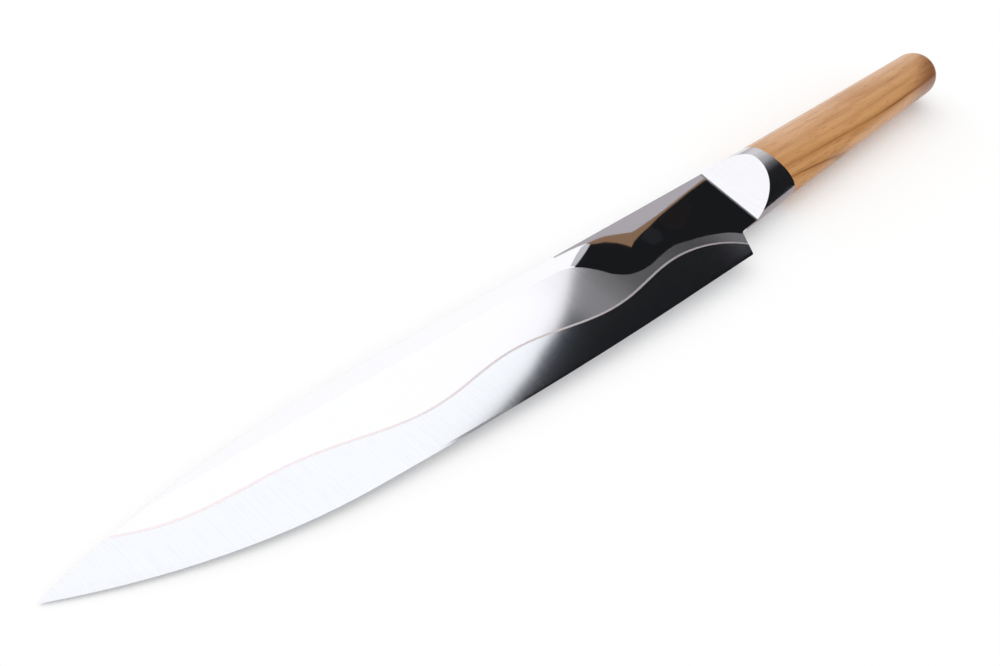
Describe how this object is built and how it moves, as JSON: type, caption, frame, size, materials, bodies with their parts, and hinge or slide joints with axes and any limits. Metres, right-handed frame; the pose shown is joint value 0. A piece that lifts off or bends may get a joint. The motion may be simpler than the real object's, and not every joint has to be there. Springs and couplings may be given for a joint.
{
  "type": "carving knife",
  "caption": "Carving knife with a wavy-seamed composite blade, a polished bolster with flat cheeks and an oval wood handle over a hidden tang.",
  "frame": {"origin": "on the blade's middle plane, where the spine line meets the front of the bolster", "axes": "+X along the handle to the butt, -X to the tip, +Y from the cutting edge to the spine, +Z out of the blade's left face; the knife lies on its right side"},
  "size_m": [0.3975, 0.0378, 0.0178],
  "materials": {
    "polished_steel": "mirror polish",
    "edge_steel": "fine satin grind",
    "copper_braze": "satin",
    "weld_steel": "ground flush and polished",
    "bolster_steel": "mirror polish",
    "solder": "dull",
    "tang_steel": "mill finish",
    "handle_wood": "satin varnish",
    "bedding_adhesive": "matt"
  },
  "bodies": {
    "root": {"blade_body": "polished_steel", "edge_strip": "edge_steel", "braze_seam": "copper_braze", "neck_weld": "weld_steel", "bolster": "bolster_steel", "tang_bar": "tang_steel", "tang_solder": "solder", "handle": "handle_wood", "tang_bedding": "bedding_adhesive"}
  },
  "joints": []
}
